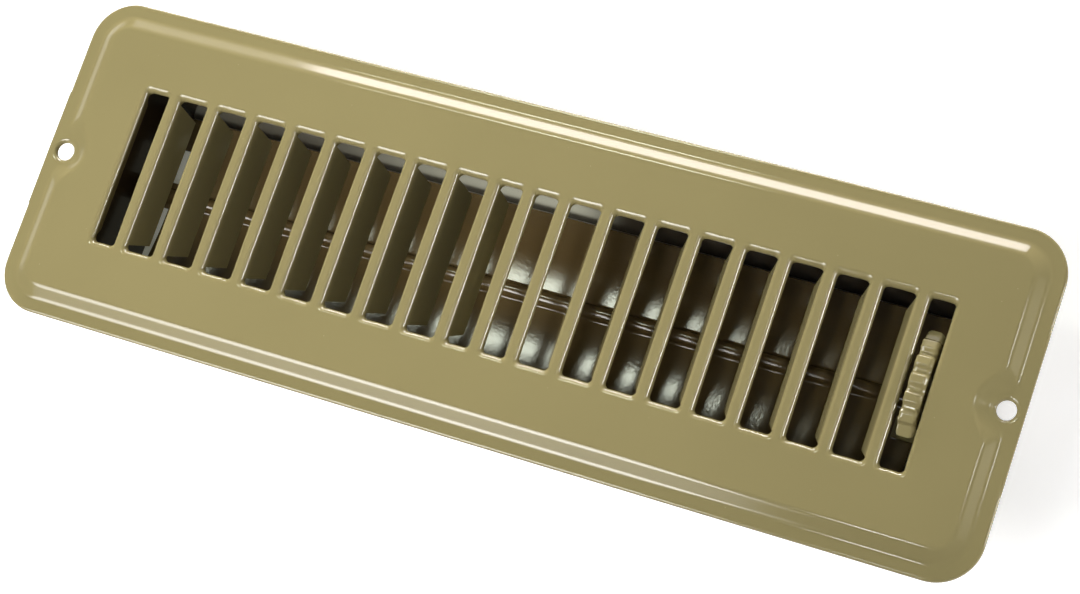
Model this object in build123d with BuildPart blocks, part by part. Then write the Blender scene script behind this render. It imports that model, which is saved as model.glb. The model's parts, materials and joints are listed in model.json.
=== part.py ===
from build123d import *
from math import atan2, cos, degrees, radians, sin, sqrt
import os

# A stamped steel floor register: a face sheet with slanted fins, a folded duct collar
# welded behind it, and a butterfly damper that a thumbwheel turns.
# Millimetres. X runs along the face towards the thumbwheel, Z points up out of the floor.
# The origin lies midway between the two screw holes, where the rim meets the floor.

# Face sheet: outline, rim, bevel and raised panel
plate_length = 292.0
plate_width = 95.2
plate_corner = 12.7
face_sheet = 0.9
rim_width = 4.2
bevel_corner = 9.0
bevel_run = 3.5
panel_rise = 2.2
crest_round = 1.2
foot_round = 0.8

# Screw holes, each in a dimple pressed down to the level of the rim
screw_inset = 5.1
screw_hole = 5.2
dimple_radius = 4.4
dimple_blend = 6.0

# Slots, counted from the middle of the face towards each end
slots_each_side = 10
slot_pitch = 12.7
slot_length = 46.0
slot_corner = 1.3
bar_width = 2.5
centre_bar = 4.1
centre_slot = 8.05
end_slot = 8.15

# Fins bent down from the outer edge of each slot, and the plain lips of the end slots
fin_lean = 23.0
fin_bend = 0.6
fin_trim = 2.3
fin_end_gap = 1.5
fin_taper = 2.6
lip_bend = 0.5
lip_drop = 1.6

# Roll of the sheet down into the two ends of each slot
end_roll = 0.8

# Duct collar: a sheet strip folded into a box, lapped once, with flanges on the face
collar_length = 249.2
collar_width = 54.0
collar_sheet = 0.6
collar_depth = 33.0
collar_bend = 1.0
flange_width = 7.0
flange_notch = 4.0
lap_width = 12.0
lap_inset = 16.0

# Damper: pivot line, the angle it rests at, rod, blade and its end tabs
pivot_depth = 23.5
rest_turn = -2.0
rod_diameter = 3.0
rod_overhang = 2.0
rod_chamfer = 0.4
pivot_clearance = 0.05
rib_clearance = 0.05
blade_sheet = 0.6
blade_length = 231.2
blade_width = 48.0
blade_dish = 0.8
blade_rise = 1.1
blade_corner = 1.5
rib_foot = 1.0
tab_width = 8.0
ear_width = 9.5
end_clearance = 0.5

# Thumbwheel: corrugated rim strip, web and the two feet welded to the blade
wheel_stand = 1.5
wheel_sheet = 0.8
wheel_width = 4.8
wheel_side_gap = 0.75
wheel_half_angle = 32.5
land_count = 5
land_pitch = 5.2
land_width = 2.2
groove_width = 1.6
groove_depth = 0.9
wheel_corner = 1.0
web_width = 22.0
hub_radius = 4.0
foot_width = 6.0
foot_reach = 6.0
foot_gap = 0.05
foot_drop = 0.15

# Levels and places worked out from the sizes above
panel_under = panel_rise
panel_top = panel_rise + face_sheet
bevel_angle = degrees(atan2(bevel_run, panel_rise))
screw_x = plate_length / 2 - screw_inset
slot_half = slot_length / 2

fin_edges = [centre_bar / 2 + centre_slot + k * slot_pitch for k in range(slots_each_side - 1)]
slots = [(centre_bar / 2, fin_edges[0])]
slots += [(inner + bar_width, outer) for inner, outer in zip(fin_edges, fin_edges[1:])]
end_edge = fin_edges[-1] + bar_width + end_slot
slots += [(fin_edges[-1] + bar_width, end_edge)]
fin_root = slot_half - fin_end_gap

wall_x = collar_length / 2 - collar_sheet
wall_y = collar_width / 2 - collar_sheet
pivot_hole = rod_diameter / 2 + pivot_clearance

rib_inside = rod_diameter / 2 + rib_clearance
rib_outside = rib_inside + blade_sheet
foot_centre_z = blade_sheet / 2 + rib_foot
foot_centre_y = sqrt((rib_outside + rib_foot) ** 2 - foot_centre_z**2)
foot_turn = atan2(foot_centre_z, foot_centre_y)

wheel_outer_x = end_edge - lip_bend - face_sheet - wheel_side_gap
wheel_radius = pivot_depth + panel_top + wheel_stand
tongue_radius = wheel_radius - groove_depth


def bent_flap(edge, lean, bend, run):
    """Section of sheet that leaves the panel at x = edge, bends down and leans inwards."""
    middle = (edge, panel_under - bend)
    turned = 180 - lean
    mid_turn = (90 + turned) / 2
    down = (-sin(radians(lean)), -cos(radians(lean)))

    def around(radius, angle):
        return (middle[0] + radius * cos(radians(angle)), middle[1] + radius * sin(radians(angle)))

    def further(point):
        return (point[0] + run * down[0], point[1] + run * down[1])

    outer = bend + face_sheet
    with BuildSketch(Plane.XZ) as section:
        with BuildLine():
            ThreePointArc(around(outer, 90), around(outer, mid_turn), around(outer, turned))
            Line(around(outer, turned), further(around(outer, turned)))
            Line(further(around(outer, turned)), further(around(bend, turned)))
            Line(further(around(bend, turned)), around(bend, turned))
            ThreePointArc(around(bend, turned), around(bend, mid_turn), around(bend, 90))
            Line(around(bend, 90), around(outer, 90))
        make_face()
    return section.sketch


def polar(radius, angle):
    """Point in the wheel's plane, at an angle in degrees from straight up, about the pivot."""
    return (radius * sin(radians(angle)), radius * cos(radians(angle)) - pivot_depth)


# Outline of the foot of the bevel, drawn in round the two dimples
with BuildSketch() as bevel_foot:
    RectangleRounded(plate_length - 2 * rim_width, plate_width - 2 * rim_width, bevel_corner)
    with Locations((-screw_x, 0), (screw_x, 0)):
        Circle(dimple_radius, mode=Mode.SUBTRACT)
    fillet(bevel_foot.vertices().filter_by_position(Axis.Y, -dimple_radius, dimple_radius), dimple_blend)

# Fins of one half, their ends cut to a taper, then mirrored to the other half
with BuildPart() as fins:
    for (inner, outer), edge in zip(slots, fin_edges):
        extrude(bent_flap(edge, fin_lean, fin_bend, outer - inner - fin_trim), amount=fin_root, both=True)
    extrude(bent_flap(end_edge, 0, lip_bend, lip_drop), amount=fin_root, both=True)
    fin_drop = panel_top - fins.part.bounding_box().min.Z
    with BuildSketch(Plane.YZ):
        with BuildLine():
            Polyline(
                (-fin_root, panel_top),
                (fin_root, panel_top),
                (fin_root - fin_taper, panel_top - fin_drop),
                (fin_taper - fin_root, panel_top - fin_drop),
                close=True,
            )
        make_face()
    extrude(amount=plate_length / 2, both=True, mode=Mode.INTERSECT)
    mirror(about=Plane.YZ)

# Corners taken off the sheet at the slot ends of one quarter of the face, mirrored to all four
with BuildPart() as end_rolls:
    for inner, outer in slots:
        with BuildSketch(Plane.YZ.offset(inner + slot_corner)):
            with BuildLine():
                level = (slot_half + end_roll, panel_top)
                half_way = (slot_half + end_roll * (1 - sqrt(0.5)), panel_top - end_roll * (1 - sqrt(0.5)))
                upright = (slot_half, panel_top - end_roll)
                ThreePointArc(level, half_way, upright)
                Polyline(upright, (slot_half, panel_top), level)
            make_face()
        extrude(amount=outer - inner - 2 * slot_corner)
    mirror(about=Plane.YZ)
    mirror(about=Plane.XZ)

# Face plate: rim sheet, panel pressed up with a bevel, slots with rolled ends, screw holes and fins
with BuildPart() as face_plate:
    with BuildSketch():
        RectangleRounded(plate_length, plate_width, plate_corner)
    extrude(amount=face_sheet)
    with BuildSketch(Plane.XY.offset(face_sheet)):
        add(bevel_foot.sketch)
    extrude(amount=panel_rise, taper=bevel_angle)
    rim_face, panel_face = face_plate.faces().filter_by(Plane.XY).sort_by(Axis.Z)[-2:]
    fillet(panel_face.outer_wire().edges(), crest_round)
    fillet(rim_face.inner_wires()[0].edges(), foot_round)
    with BuildSketch():
        add(bevel_foot.sketch)
    extrude(amount=panel_rise, taper=bevel_angle, mode=Mode.SUBTRACT)
    with BuildSketch(Plane.XY.offset(panel_top)):
        for inner, outer in slots:
            for side in (-1, 1):
                with Locations((side * (inner + outer) / 2, 0)):
                    RectangleRounded(outer - inner, slot_length, slot_corner)
    extrude(amount=-panel_top, mode=Mode.SUBTRACT)
    with Locations((-screw_x, 0), (screw_x, 0)):
        Hole(screw_hole / 2)
    add(end_rolls.part, mode=Mode.SUBTRACT)
    add(fins.part)
face_plate.part.label = "face_plate"

# Duct collar: folded walls, flanges bent out under the panel, a lap seam and two pivot holes
with BuildPart() as duct_collar:
    bend_outer = collar_bend + collar_sheet
    with BuildSketch(Plane.XY.offset(-collar_depth)):
        RectangleRounded(collar_length, collar_width, bend_outer)
        RectangleRounded(2 * wall_x, 2 * wall_y, collar_bend, mode=Mode.SUBTRACT)
    extrude(amount=collar_depth + panel_under - bend_outer)
    for plane, wall, span in (
        (Plane.YZ, wall_y, collar_length - 2 * flange_notch),
        (Plane.XZ, wall_x, collar_width - 2 * flange_notch),
    ):
        with BuildSketch(plane):
            for side in (-1, 1):
                low = panel_under - bend_outer
                bend_x = wall + bend_outer
                reach = wall + collar_sheet + flange_width
                with BuildLine():
                    turn = radians(45)
                    Line((side * wall, low), (side * (wall + collar_sheet), low))
                    ThreePointArc(
                        (side * (wall + collar_sheet), low),
                        (side * (bend_x - collar_bend * cos(turn)), low + collar_bend * sin(turn)),
                        (side * bend_x, panel_under - collar_sheet),
                    )
                    Line((side * bend_x, panel_under - collar_sheet), (side * reach, panel_under - collar_sheet))
                    Line((side * reach, panel_under - collar_sheet), (side * reach, panel_under))
                    Line((side * reach, panel_under), (side * bend_x, panel_under))
                    ThreePointArc(
                        (side * bend_x, panel_under),
                        (side * (bend_x - bend_outer * cos(turn)), low + bend_outer * sin(turn)),
                        (side * wall, low),
                    )
                make_face()
        extrude(amount=span / 2, both=True)
    with BuildSketch(Plane.XY.offset(-collar_depth)):
        with Locations((-collar_length / 2 + lap_inset + lap_width / 2, -(collar_width + collar_sheet) / 2)):
            Rectangle(lap_width, collar_sheet)
    extrude(amount=collar_depth + panel_under - bend_outer)
    with BuildSketch(Plane.YZ):
        with Locations((0, -pivot_depth)):
            Circle(pivot_hole)
    extrude(amount=collar_length / 2, both=True, mode=Mode.SUBTRACT)
duct_collar.part.label = "duct_collar"

# Damper rod: plain round steel through both end walls of the collar
with BuildPart() as damper_rod:
    with BuildSketch(Plane.YZ):
        with Locations((0, -pivot_depth)):
            Circle(rod_diameter / 2)
    extrude(amount=collar_length / 2 + rod_overhang, both=True)
    chamfer(damper_rod.edges(), rod_chamfer)
damper_rod.part.label = "damper_rod"

# Damper blade: two dished wings that rise outwards from a half-round rib over the rod, with
# a tab and an ear at one end
blade_half = blade_width / 2
blade_end = blade_length / 2
tab_end = wall_x - end_clearance


def wing_side(skin, sag, lift):
    """Upper (skin +1) or lower (skin -1) line of the blade section from one edge to the other."""
    level = skin * blade_sheet / 2 - pivot_depth
    foot = rib_foot if skin > 0 else rib_foot + blade_sheet
    rib = rib_outside if skin > 0 else rib_inside
    foot_z = foot_centre_z - pivot_depth
    bend = radians(-90) - (radians(90) - foot_turn) / 2
    for side in (-1, 1):
        start = (side * blade_half, level + lift)
        root = (side * foot_centre_y, level)
        middle = (side * (blade_half + foot_centre_y) / 2, level + lift / 2 - sag)
        rise = (side * rib * cos(foot_turn), rib * sin(foot_turn) - pivot_depth)
        half_way = (side * (foot_centre_y + foot * cos(bend)), foot_z + foot * sin(bend))
        ThreePointArc(start, middle, root)
        ThreePointArc(root, half_way, rise)
    left = (-rib * cos(foot_turn), rib * sin(foot_turn) - pivot_depth)
    right = (rib * cos(foot_turn), rib * sin(foot_turn) - pivot_depth)
    ThreePointArc(left, (0, rib - pivot_depth), right)


with BuildPart() as damper_blade:
    with BuildSketch(Plane.YZ.offset(-tab_end)):
        with BuildLine():
            wing_side(1, blade_dish, blade_rise)
            wing_side(-1, blade_dish, blade_rise)
            for side in (-1, 1):
                Line(
                    (side * blade_half, blade_rise + blade_sheet / 2 - pivot_depth),
                    (side * blade_half, blade_rise - blade_sheet / 2 - pivot_depth),
                )
        make_face()
    extrude(amount=tab_end + blade_end)
    with BuildSketch(Plane.XY.offset(-pivot_depth)):
        notch = tab_end - blade_end
        notch_x = -(tab_end + blade_end) / 2
        for low, high in ((-blade_half, -tab_width / 2), (tab_width / 2, blade_half - ear_width)):
            with Locations((notch_x, (low + high) / 2)):
                Rectangle(notch, high - low)
    extrude(amount=rib_outside + rib_foot, both=True, mode=Mode.SUBTRACT)
    corners = damper_blade.edges().filter_by(Axis.Z).filter_by_position(Axis.X, -tab_end, blade_end)
    outer_corners = corners.filter_by(lambda edge: abs(edge.center().Y) > tab_width / 2)
    fillet(outer_corners, blade_corner)

# Thumbwheel: corrugated strip round the rim, a web below it and two feet on the blade
land_step = degrees(land_pitch / wheel_radius)
land_turn = degrees(land_width / wheel_radius) / 2
groove_turn = degrees(groove_width / wheel_radius) / 2
lands = [(k - (land_count - 1) / 2) * land_step for k in range(land_count)]


def corrugated(radius):
    """Line of lands and grooves at one radius of the strip, with a plain tongue at each end."""
    low = radius - groove_depth
    first = lands[0] - land_step / 2 + groove_turn
    last = lands[-1] + land_step / 2 - groove_turn
    ThreePointArc(
        polar(low, -wheel_half_angle), polar(low, (first - wheel_half_angle) / 2), polar(low, first)
    )
    for index, land in enumerate(lands):
        rise_from = land - land_step / 2 + groove_turn
        fall_to = land + land_step / 2 - groove_turn
        Line(polar(low, rise_from), polar(radius, land - land_turn))
        ThreePointArc(polar(radius, land - land_turn), polar(radius, land), polar(radius, land + land_turn))
        Line(polar(radius, land + land_turn), polar(low, fall_to))
        if index + 1 < land_count:
            valley = land + land_step / 2
            ThreePointArc(polar(low, fall_to), polar(low, valley), polar(low, valley + groove_turn))
    ThreePointArc(
        polar(low, last), polar(low, (last + wheel_half_angle) / 2), polar(low, wheel_half_angle)
    )


web_top = tongue_radius - wheel_sheet / 2
foot_level = blade_sheet / 2 + foot_gap - foot_drop - pivot_depth
with BuildPart() as thumbwheel:
    with BuildSketch(Plane.YZ.offset(wheel_outer_x - wheel_width)):
        with BuildLine():
            corrugated(wheel_radius)
            corrugated(wheel_radius - wheel_sheet)
            for side in (-1, 1):
                Line(
                    polar(tongue_radius, side * wheel_half_angle),
                    polar(tongue_radius - wheel_sheet, side * wheel_half_angle),
                )
        make_face()
    extrude(amount=wheel_width)
    for tongue in (thumbwheel.faces().sort_by(Axis.Y)[0], thumbwheel.faces().sort_by(Axis.Y)[-1]):
        fillet(tongue.edges().filter_by(lambda edge: edge.length < 2 * wheel_sheet), wheel_corner)
    with BuildSketch(Plane.YZ.offset(wheel_outer_x - wheel_sheet)):
        web_turn = degrees(atan2(web_width / 2, web_top))
        with BuildLine():
            Line((-web_width / 2, foot_level), polar(web_top, -web_turn))
            ThreePointArc(polar(web_top, -web_turn), polar(web_top, 0), polar(web_top, web_turn))
            Line(polar(web_top, web_turn), (web_width / 2, foot_level))
            Line((web_width / 2, foot_level), (-web_width / 2, foot_level))
        make_face()
        with Locations((0, -pivot_depth)):
            Circle(hub_radius)
            Circle(rod_diameter / 2 + rib_clearance, mode=Mode.SUBTRACT)
    extrude(amount=wheel_sheet)
    with BuildSketch(Plane.XY.offset(foot_level)):
        reach = wheel_outer_x - blade_end + foot_reach
        for side in (-1, 1):
            with Locations((wheel_outer_x - reach / 2, side * (web_width - foot_width) / 2)):
                Rectangle(reach, foot_width)
    extrude(amount=wheel_sheet)

# Blade and thumbwheel turned together about the rod to the angle at which the damper rests
pivot_line = Axis((0, 0, -pivot_depth), (1, 0, 0))
rested_blade = damper_blade.part.rotate(pivot_line, rest_turn)
rested_blade.label = "damper_blade"
rested_wheel = thumbwheel.part.rotate(pivot_line, rest_turn)
rested_wheel.label = "thumbwheel"

os.makedirs("parts", exist_ok=True)
export_step(face_plate.part, "parts/face_plate.step")
export_step(duct_collar.part, "parts/duct_collar.step")
export_step(damper_rod.part, "parts/damper_rod.step")
export_step(rested_blade, "parts/damper_blade.step")
export_step(rested_wheel, "parts/thumbwheel.step")
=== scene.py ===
import json
import math

import bmesh
import bpy
import numpy as np
from mathutils import Matrix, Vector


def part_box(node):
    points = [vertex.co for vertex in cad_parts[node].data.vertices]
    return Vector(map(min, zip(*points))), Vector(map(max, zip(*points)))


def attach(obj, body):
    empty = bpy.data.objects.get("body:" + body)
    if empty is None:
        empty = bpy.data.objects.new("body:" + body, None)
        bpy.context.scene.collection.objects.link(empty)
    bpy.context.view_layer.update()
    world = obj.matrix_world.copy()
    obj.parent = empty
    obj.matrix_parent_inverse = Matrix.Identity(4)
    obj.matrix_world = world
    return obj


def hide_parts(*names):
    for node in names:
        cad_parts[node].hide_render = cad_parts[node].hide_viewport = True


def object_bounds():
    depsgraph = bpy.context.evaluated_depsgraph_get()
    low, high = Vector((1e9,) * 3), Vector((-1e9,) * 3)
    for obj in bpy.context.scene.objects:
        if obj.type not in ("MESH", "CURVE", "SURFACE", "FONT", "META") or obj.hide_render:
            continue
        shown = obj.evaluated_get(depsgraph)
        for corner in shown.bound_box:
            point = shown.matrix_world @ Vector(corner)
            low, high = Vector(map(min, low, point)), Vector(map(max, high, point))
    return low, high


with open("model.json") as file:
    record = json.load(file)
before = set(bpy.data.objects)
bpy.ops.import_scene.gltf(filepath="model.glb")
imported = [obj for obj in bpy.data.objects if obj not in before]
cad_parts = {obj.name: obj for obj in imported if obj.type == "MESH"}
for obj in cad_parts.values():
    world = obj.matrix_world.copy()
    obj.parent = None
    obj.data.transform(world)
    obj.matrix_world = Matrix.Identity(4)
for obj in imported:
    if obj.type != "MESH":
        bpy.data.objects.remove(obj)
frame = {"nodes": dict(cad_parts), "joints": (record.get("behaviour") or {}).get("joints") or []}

bl_info = {
    "name": "Floor register",
    "version": (1, 0, 0),
    "blender": (4, 5, 0),
    "location": "View3D > Sidebar > Register",
    "description": "Dresses a stamped steel floor register: face, damper, thumbwheel, collar and stage",
    "category": "Object",
}

CAD_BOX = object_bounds()
MM = 0.001
WELD = 1e-3  # points in the same cell of this size, in millimetres, become one
WELD_SHIFT = 0.00037  # keeps round numbers off the border between two weld cells
SINK = 0.02  # how far a hidden joint lies inside its neighbour, in millimetres
FOOT_SINK = 0.1  # how far the thumbwheel's welded feet lie inside the blade
HUB_STAND = 0.05  # how far the hub stands out from the web on each side
SHARP_TURN = math.radians(38)  # edges that turn more than this stay sharp


def node_size_mm(name):
    """Length, width and height of a CAD node in millimetres."""
    low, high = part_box(name)
    return [(b - a) / MM for a, b in zip(low, high)]


FACE_LENGTH, FACE_WIDTH, _ = node_size_mm("face_plate")
PIVOT_Z = frame["joints"][0]["pos_m"][2] / MM
FLOOR_Z = CAD_BOX[0][2]


def linear(hex_colour):
    """sRGB hex colour turned to linear red, green and blue."""
    parts = np.array([int(hex_colour[i : i + 2], 16) for i in (1, 3, 5)]) / 255
    low = parts / 12.92
    high = ((parts + 0.055) / 1.055) ** 2.4
    return tuple(float(v) for v in np.where(parts <= 0.04045, low, high))


# Sizes and colours that a user would change


def length(name, description, millimetres):
    """One length property, shown in Blender's units and held in metres."""
    return bpy.props.FloatProperty(
        name=name, description=description, default=millimetres * MM, unit="LENGTH", precision=5
    )


def angle(name, description, degrees):
    """One angle property, shown in degrees and held in radians."""
    return bpy.props.FloatProperty(
        name=name, description=description, default=math.radians(degrees), subtype="ANGLE"
    )


def colour(name, description, hex_colour):
    """One colour property with its default from a hex value."""
    return bpy.props.FloatVectorProperty(
        name=name, description=description, default=linear(hex_colour), subtype="COLOR", min=0, max=1
    )


class RegisterFaceSizes(bpy.types.PropertyGroup):
    """Sizes of the stamped face."""

    sheet: length("Sheet", "Thickness of the face sheet", 0.9)
    corner: length("Corner", "Outer corner radius of the face", 12.7)
    edge_round: length("Edge round", "Rounding of the rim's upper edge", 0.65)
    rim: length("Rim", "Flat rim from the edge to the foot of the bevel", 4.2)
    bevel_corner: length("Bevel corner", "Corner radius at the foot of the bevel", 9.0)
    bevel_run: length("Bevel run", "Width of the bevel seen from above", 3.5)
    panel_rise: length("Panel rise", "Height of the panel over the rim", 2.2)
    foot_blend: length("Foot blend", "Half width of the curve at the foot of the bevel", 0.8)
    crest_blend: length("Crest blend", "Half width of the curve at the crest of the bevel", 0.8)
    screw_inset: length("Screw inset", "Screw hole centre from the end of the face", 5.1)
    screw_hole: length("Screw hole", "Diameter of the screw holes", 5.2)
    dimple: length("Dimple", "Flat radius of the dimple round each screw hole", 4.4)
    dimple_blend: length("Dimple blend", "Width over which dimple and bevel flow together", 4.0)
    slot_pitch: length("Slot pitch", "Distance from slot to slot", 12.7)
    slot_length: length("Slot length", "Length of each slot", 46.0)
    slot_corner: length("Slot corner", "Corner radius of each slot's opening", 1.3)
    roll_corner: length("Roll corner", "Corner radius where the sheet starts to roll into a slot", 1.7)
    end_roll: length("End roll", "Radius of the rolled slot ends", 1.7)
    side_roll: length("Side roll", "Radius of the sheared slot edges and screw holes", 1.2)
    bar: length("Bar", "Width of the bars between slots", 2.5)
    centre_bar: length("Centre bar", "Width of the bar in the middle", 4.1)
    centre_slot: length("Centre slot", "Width of the two slots beside the middle bar", 8.05)
    end_slot: length("End slot", "Width of the slot at each end", 8.15)
    fin_lean: angle("Fin lean", "Lean of the fins from upright", 23)
    fin_bend: length("Fin bend", "Inner bend radius of the fins", 0.6)
    fin_trim: length("Fin trim", "Slot width less the straight part of its fin", 2.3)
    fin_taper: length("Fin taper", "How much each fin end slopes in", 2.6)
    lip_bend: length("Lip bend", "Inner bend radius of the end slots' lips", 0.5)
    lip_drop: length("Lip drop", "Straight part of the end slots' lips", 1.6)


class RegisterDamperSizes(bpy.types.PropertyGroup):
    """Sizes of the damper blade and the thumbwheel."""

    blade_sheet: length("Blade sheet", "Thickness of the blade", 0.6)
    blade_length: length("Blade length", "Length of the blade's wings", 231.2)
    blade_width: length("Blade width", "Width of the blade over both wings", 48.0)
    blade_dish: length("Blade dish", "How far each wing is dished", 0.8)
    blade_rise: length("Blade rise", "How far each wing rises outwards from the rib", 1.45)
    rib_inside: length("Rib inside", "Inner radius of the middle rib", 1.55)
    rib_foot: length("Rib foot", "Radius at the foot of the rib", 1.0)
    tab: length("Tab", "Width of the middle tab", 8.0)
    ear: length("Ear", "Width of the corner ear", 9.5)
    strip_sheet: length("Strip sheet", "Thickness of the thumbwheel's sheet", 0.8)
    wheel_radius: length("Wheel radius", "Radius of the lands about the rod", 28.1)
    strip_width: length("Strip width", "Width of the corrugated strip", 4.8)
    strip_droop: length("Strip droop", "How far the strip's free side curls down", 0.6)
    strip_curl: length("Strip curl", "Width over which the free side curls down", 1.2)
    strip_round: length("Strip round", "Rounding of the strip's free edges", 0.35)
    strip_bend: length("Strip bend", "Inner radius where the strip bends down into the web", 0.4)
    strip_skirt: length("Strip skirt", "Depth below the strip where its waves have died away", 2.8)
    tongue_corner: length("Tongue corner", "Corner radius of the strip's two tongues", 1.0)
    land_pitch: length("Land pitch", "Distance from land to land", 5.2)
    land: length("Land", "Width of each land", 1.7)
    groove: length("Groove", "Width of each groove's floor", 0.4)
    groove_depth: length("Groove depth", "Depth of the grooves", 1.1)
    web: length("Web", "Width of the web under the strip", 22.0)
    hub: length("Hub", "Radius of the hub round the rod", 4.0)
    rod_hole: length("Rod hole", "Radius of the hub's hole", 1.55)
    foot: length("Foot", "Width of the two feet on the blade", 6.0)
    rest_turn: angle("Rest turn", "Turn of the damper from level at rest", -2)
    blade_set: angle("Blade set", "Turn of the blade from the thumbwheel", -2)
    land_count: bpy.props.IntProperty(name="Lands", description="Lands on the strip", default=5, min=1)
    strip_turn: angle("Strip turn", "Half angle of the strip", 32.5)


class RegisterFinishes(bpy.types.PropertyGroup):
    """Paint and metal colours."""

    face: colour("Face enamel", "Tan baked enamel of the face", "#958a60")
    # The blade's brown is painted shade: the tan enamel darkened for the dim inside of the collar
    blade: colour("Blade enamel", "Brown enamel of the damper blade", "#604f30")
    # The collar's dark colour is painted shade: the tan enamel darkened for the dim inside of the register
    collar: colour("Collar enamel", "Dark enamel of the duct collar", "#54493a")
    wheel: colour("Wheel enamel", "Enamel of the thumbwheel", "#988d63")
    rod: colour("Rod steel", "Drawn steel of the damper rod", "#b4b1ab")
    dust: colour("Dust", "Specks of dust baked into the enamel", "#c9bf98")


def property_names(group):
    """Names of the properties that a group defines itself."""
    return [key for key in group.bl_rna.properties.keys() if key not in ("rna_type", "name")]


def millimetres(group):
    """Plain name-to-number dictionary of a size group, with lengths in millimetres."""
    values = {}
    for key in property_names(group):
        value = getattr(group, key)
        values[key] = value / MM if group.bl_rna.properties[key].unit == "LENGTH" else value
    return values


# Grids and meshes


def rounded_loop(half_x, half_y, corner, across, along, turns):
    """Closed line round a rectangle with quarter-circle corners, as an array of points.

    across and along are fractions from -1 to 1 of the straight runs in X and Y, and turns
    are the angles sampled inside each corner. It starts on the +X side and runs anticlockwise.
    """
    run_x, run_y = half_x - corner, half_y - corner

    def arc(centre_x, centre_y, start):
        return np.stack(
            [centre_x + corner * np.cos(start + turns), centre_y + corner * np.sin(start + turns)], axis=1
        )

    def side(x, y):
        return np.stack(np.broadcast_arrays(x, y), axis=1).astype(float)

    quarter = math.pi / 2
    return np.concatenate(
        [
            side(half_x, run_y * along),
            arc(run_x, run_y, 0),
            side(run_x * across[::-1], half_y),
            arc(-run_x, run_y, quarter),
            side(-half_x, run_y * along[::-1]),
            arc(-run_x, -run_y, 2 * quarter),
            side(run_x * across, -half_y),
            arc(run_x, -run_y, 3 * quarter),
        ]
    )


def grid_quads(rows, columns, closed):
    """Corner indices of the cells of a rows by columns grid; closed joins the last column to the first."""
    steps = columns if closed else columns - 1
    row, column = np.meshgrid(np.arange(rows - 1), np.arange(steps), indexing="ij")
    nxt = (column + 1) % columns
    cells = np.stack([row * columns + column, row * columns + nxt], axis=-1)
    upper = np.stack([(row + 1) * columns + nxt, (row + 1) * columns + column], axis=-1)
    return np.concatenate([cells, upper], axis=-1).reshape(-1, 4)


def patch(points, closed=False, keep=None):
    """One grid of points (rows, columns, 3) as (points, quads); keep is a mask of its cells."""
    rows, columns = points.shape[:2]
    quads = grid_quads(rows, columns, closed)
    if keep is not None:
        quads = quads[np.broadcast_to(keep, (rows - 1, len(quads) // (rows - 1))).ravel()]
    return points.reshape(-1, 3), quads


def with_height(plan, z):
    """Points in the plane, of any grid shape, given their heights."""
    return np.concatenate([plan, np.broadcast_to(z, plan.shape[:-1])[..., None]], axis=-1)


def joined(patches):
    """Patches put together with their shared points welded, as (points, quads, triangles)."""
    counts = np.cumsum([0] + [len(points) for points, _ in patches[:-1]])
    points = np.concatenate([points for points, _ in patches])
    quads = np.concatenate([quads + start for (_, quads), start in zip(patches, counts)])
    keys = np.round((points + WELD_SHIFT) / WELD).astype(np.int64)
    _, first, back = np.unique(keys, axis=0, return_index=True, return_inverse=True)
    quads = back.reshape(-1)[quads]
    same = quads == np.roll(quads, -1, axis=1)
    whole = quads[~same.any(axis=1)]
    halves = [np.delete(quads[same[:, k] & (same.sum(axis=1) == 1)], k, axis=1) for k in range(4)]
    return points[first], whole, np.concatenate(halves)


def mesh_piece(name, patches, material, body, node):
    """Blender object from patches in millimetres, closed, smooth and standing for one CAD node."""
    points, quads, triangles = joined(patches)
    mesh = bpy.data.meshes.new(name)
    mesh.vertices.add(len(points))
    mesh.vertices.foreach_set("co", (points * MM).astype(np.float32).ravel())
    corners = np.concatenate([quads.ravel(), triangles.ravel()])
    sizes = np.concatenate([np.full(len(quads), 4), np.full(len(triangles), 3)])
    mesh.loops.add(len(corners))
    mesh.loops.foreach_set("vertex_index", corners.astype(np.int32))
    mesh.polygons.add(len(sizes))
    starts = np.cumsum(sizes) - sizes
    mesh.polygons.foreach_set("loop_start", starts.astype(np.int32))
    mesh.update(calc_edges=True)
    mesh.validate()
    shell = bmesh.new()
    shell.from_mesh(mesh)
    bmesh.ops.recalc_face_normals(shell, faces=shell.faces)
    shell.to_mesh(mesh)
    shell.free()
    mesh.shade_smooth()
    mesh.set_sharp_from_angle(angle=SHARP_TURN)
    mesh.materials.append(material)
    piece = bpy.data.objects.new(name, mesh)
    bpy.context.scene.collection.objects.link(piece)
    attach(piece, body)
    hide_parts(node)


# The face


def smooth_min(a, b, width):
    """Lesser of two fields, with a parabola over the given width where they cross."""
    near = np.maximum(width - np.abs(a - b), 0) / width
    return np.minimum(a, b) - near**2 * width / 4


def soft_step(distance, half_width):
    """Zero before 0 and the distance itself after it, joined by a parabola over the half width."""
    middle = (distance + half_width) ** 2 / (4 * half_width)
    return np.where(distance < -half_width, 0, np.where(distance > half_width, distance, middle))


def depth_in_box(x, y, half_x, half_y, corner):
    """Distance inside the line of a rounded rectangle, negative outside it."""
    over_x = np.abs(x) - half_x + corner
    over_y = np.abs(y) - half_y + corner
    outside = np.hypot(np.maximum(over_x, 0), np.maximum(over_y, 0))
    return corner - outside - np.minimum(np.maximum(over_x, over_y), 0)


def sheet_top(x, y, s):
    """Height of the sheet's upper side: rim level, then a ramp with curved foot and crest.

    The ramp follows the distance inside the bevel's foot line, which flows round the two dimples.
    """
    inside = depth_in_box(x, y, FACE_LENGTH / 2 - s["rim"], FACE_WIDTH / 2 - s["rim"], s["bevel_corner"])
    for end in (-1, 1):
        screw_x = end * (FACE_LENGTH / 2 - s["screw_inset"])
        inside = smooth_min(inside, np.hypot(x - screw_x, y) - s["dimple"], s["dimple_blend"])
    ramp = soft_step(inside, s["foot_blend"]) - soft_step(inside - s["bevel_run"], s["crest_blend"])
    return s["sheet"] + s["panel_rise"] * ramp / s["bevel_run"]


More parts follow.
